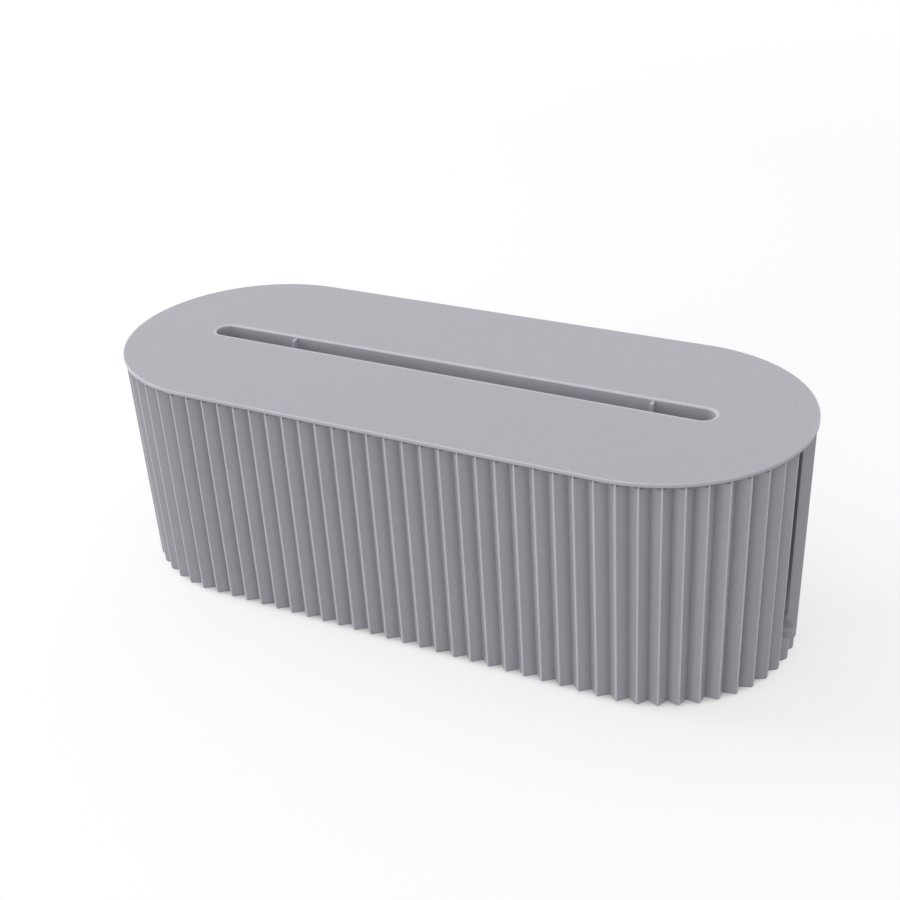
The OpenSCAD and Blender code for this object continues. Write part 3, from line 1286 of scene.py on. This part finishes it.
@dataclass(frozen=True)
class Studio:
    """Pale floor, soft lamps, plain world and the camera, in metres and degrees."""

    world_level: float = 0.62
    world_tint: Triple = (0.98, 0.985, 1.0)
    floor_tone: float = 0.45
    floor_roughness: float = 0.9
    floor_half: float = 6.0
    near_glow: float = 0.6
    near_fade: Span = (0.052, 0.06)
    far_glow: float = 0.14
    far_fade: Span = (0.7, 2.5)
    past_ends: Span = (0.1, 1.1)
    eye: Triple = (0.2925584, -0.5340602, 0.3992291)
    yaw: float = -30.895
    pitch: float = 27.228
    roll: float = -4.117
    lens: float = 59.928
    sensor: float = 36.0
    shift: Span = (0.05781, -0.03221)
    clip: Span = (0.01, 50.0)
    lamps: tuple[SoftBox, ...] = (
        SoftBox("overhead", (-0.2, 0.1, 1.7), 1.4, 1.9, (0.8, 0.92, 1.0)),
        SoftBox("key", (-1.9, -0.2, 0.8), 1.0, 18.6, plain=True),
        SoftBox("front", (0.4, -1.88, 0.9), 1.2, 4.5),
        SoftBox("corner", (-0.9, -1.7, 0.35), 0.8, 4.3, plain=True),
        SoftBox("rear", (0.0, 1.8, 1.1), 1.2, 1.5),
    )

    def world(self) -> None:
        """Even pale world that the camera, glass and gloss see as white."""
        world = bpy.data.worlds.new("plain_world")
        graph = Graph(world)
        graph.nodes.clear()
        levels = (((*self.world_tint, 1), self.world_level), ((1, 1, 1, 1), 1.0))
        light, seen = (
            graph.add("ShaderNodeBackground", {"Color": colour, "Strength": level})
            for colour, level in levels
        )
        shaders = {1: light.outputs["Background"], 2: seen.outputs["Background"]}
        mix = graph.add("ShaderNodeMixShader", {"Fac": graph.background_rays(), **shaders})
        graph.add("ShaderNodeOutputWorld", {"Surface": mix.outputs["Shader"]})
        bpy.context.scene.world = world

    def floor_glow(self, graph: Graph) -> Socket:
        """Strength of the floor's glow.

        It fades out under the box and makes up for the lamps far from it: x
        and y give the distance from the middle line of the box's plan, which
        is a stadium.
        """
        split = graph.add("ShaderNodeSeparateXYZ", {"Vector": graph.place()}).outputs
        along = graph.combined("ABSOLUTE", split["X"])
        past = graph.scaled(along, self.past_ends, (0, 1))
        way = graph.add("ShaderNodeCombineXYZ", {"X": past, "Y": split["Y"]})
        length = graph.nodes.new("ShaderNodeVectorMath")
        length.operation = "LENGTH"
        reach = graph.feed(length, {0: way.outputs["Vector"]}).outputs["Value"]
        near = graph.scaled(reach, self.near_fade, (0, self.near_glow))
        far = graph.scaled(reach, self.far_fade, (0, self.far_glow))
        level = graph.combined("ADD", near, far)
        return graph.combined("MULTIPLY", graph.background_rays(), level)

    def floor(self) -> None:
        """Pale matt floor that is seen as white and that keeps shadows."""
        mesh = bpy.data.meshes.new("floor")
        corners = [(-1, -1), (1, -1), (1, 1), (-1, 1)]
        corners = [(self.floor_half * x, self.floor_half * y, 0) for x, y in corners]
        mesh.from_pydata(corners, [], [(0, 1, 2, 3)])
        made = bpy.data.materials.new("pale_floor")
        graph = Graph(made)
        matt = {
            "Base Color": (*[self.floor_tone] * 3, 1),
            "Roughness": self.floor_roughness,
            "Specular IOR Level": 0.0,
        }
        shader = graph.feed(graph.nodes["Principled BSDF"], matt)
        glow = graph.add("ShaderNodeEmission", {"Strength": self.floor_glow(graph)})
        parts = {0: shader.outputs["BSDF"], 1: glow.outputs["Emission"]}
        both = graph.add("ShaderNodeAddShader", parts)
        graph.feed(graph.nodes["Material Output"], {"Surface": both.outputs["Shader"]})
        mesh.materials.append(made)
        plane = bpy.data.objects.new("floor", mesh)
        bpy.context.scene.collection.objects.link(plane)

    def camera(self) -> None:
        """Camera from its place, heading, dip and roll.

        The view points along (sin yaw cos pitch, cos yaw cos pitch, -sin
        pitch); roll turns the picture's axes about it.
        """
        yaw, pitch, roll = (math.radians(v) for v in (self.yaw, self.pitch, self.roll))
        ahead = math.cos(pitch)
        way = Vector((math.sin(yaw) * ahead, math.cos(yaw) * ahead, -math.sin(pitch)))
        level = Vector((math.cos(yaw), -math.sin(yaw), 0))
        rise = level.cross(way)
        right = math.cos(roll) * level + math.sin(roll) * rise
        up = math.cos(roll) * rise - math.sin(roll) * level
        data = bpy.data.cameras.new("camera")
        data.lens = self.lens
        data.sensor_width = self.sensor
        data.shift_x, data.shift_y = self.shift
        data.clip_start, data.clip_end = self.clip
        eye = bpy.data.objects.new("camera", data)
        turn = Matrix((right, up, -way)).transposed().to_4x4()
        eye.matrix_world = Matrix.Translation(self.eye) @ turn
        bpy.context.scene.collection.objects.link(eye)
        bpy.context.scene.camera = eye

    def build(self) -> None:
        """Adds the whole studio."""
        bpy.context.scene.view_settings.view_transform = "Standard"
        self.world()
        self.floor()
        for lamp in self.lamps:
            lamp.build()
        self.camera()


PALE_GREY = MouldedPlastic("pale_grey_plastic", (0.472, 0.472, 0.509), (0.448, 0.448, 0.485))
DARK_RUBBER = SoftRubber("dark_rubber", (0.06, 0.06, 0.066), (0.11, 0.11, 0.115))


def main() -> None:
    """Builds the box, its lid, its feet and the studio in order."""
    logging.basicConfig(level=logging.INFO, format="%(name)s %(message)s")
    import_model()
    box = FlutedBox()
    box.build(PALE_GREY)
    SlottedLid(box).build(PALE_GREY)
    for end in End:
        for side in Side:
            StickOnFoot(box, end, side).build(DARK_RUBBER)
    Studio().build()


if __name__ == "__main__":
    main()
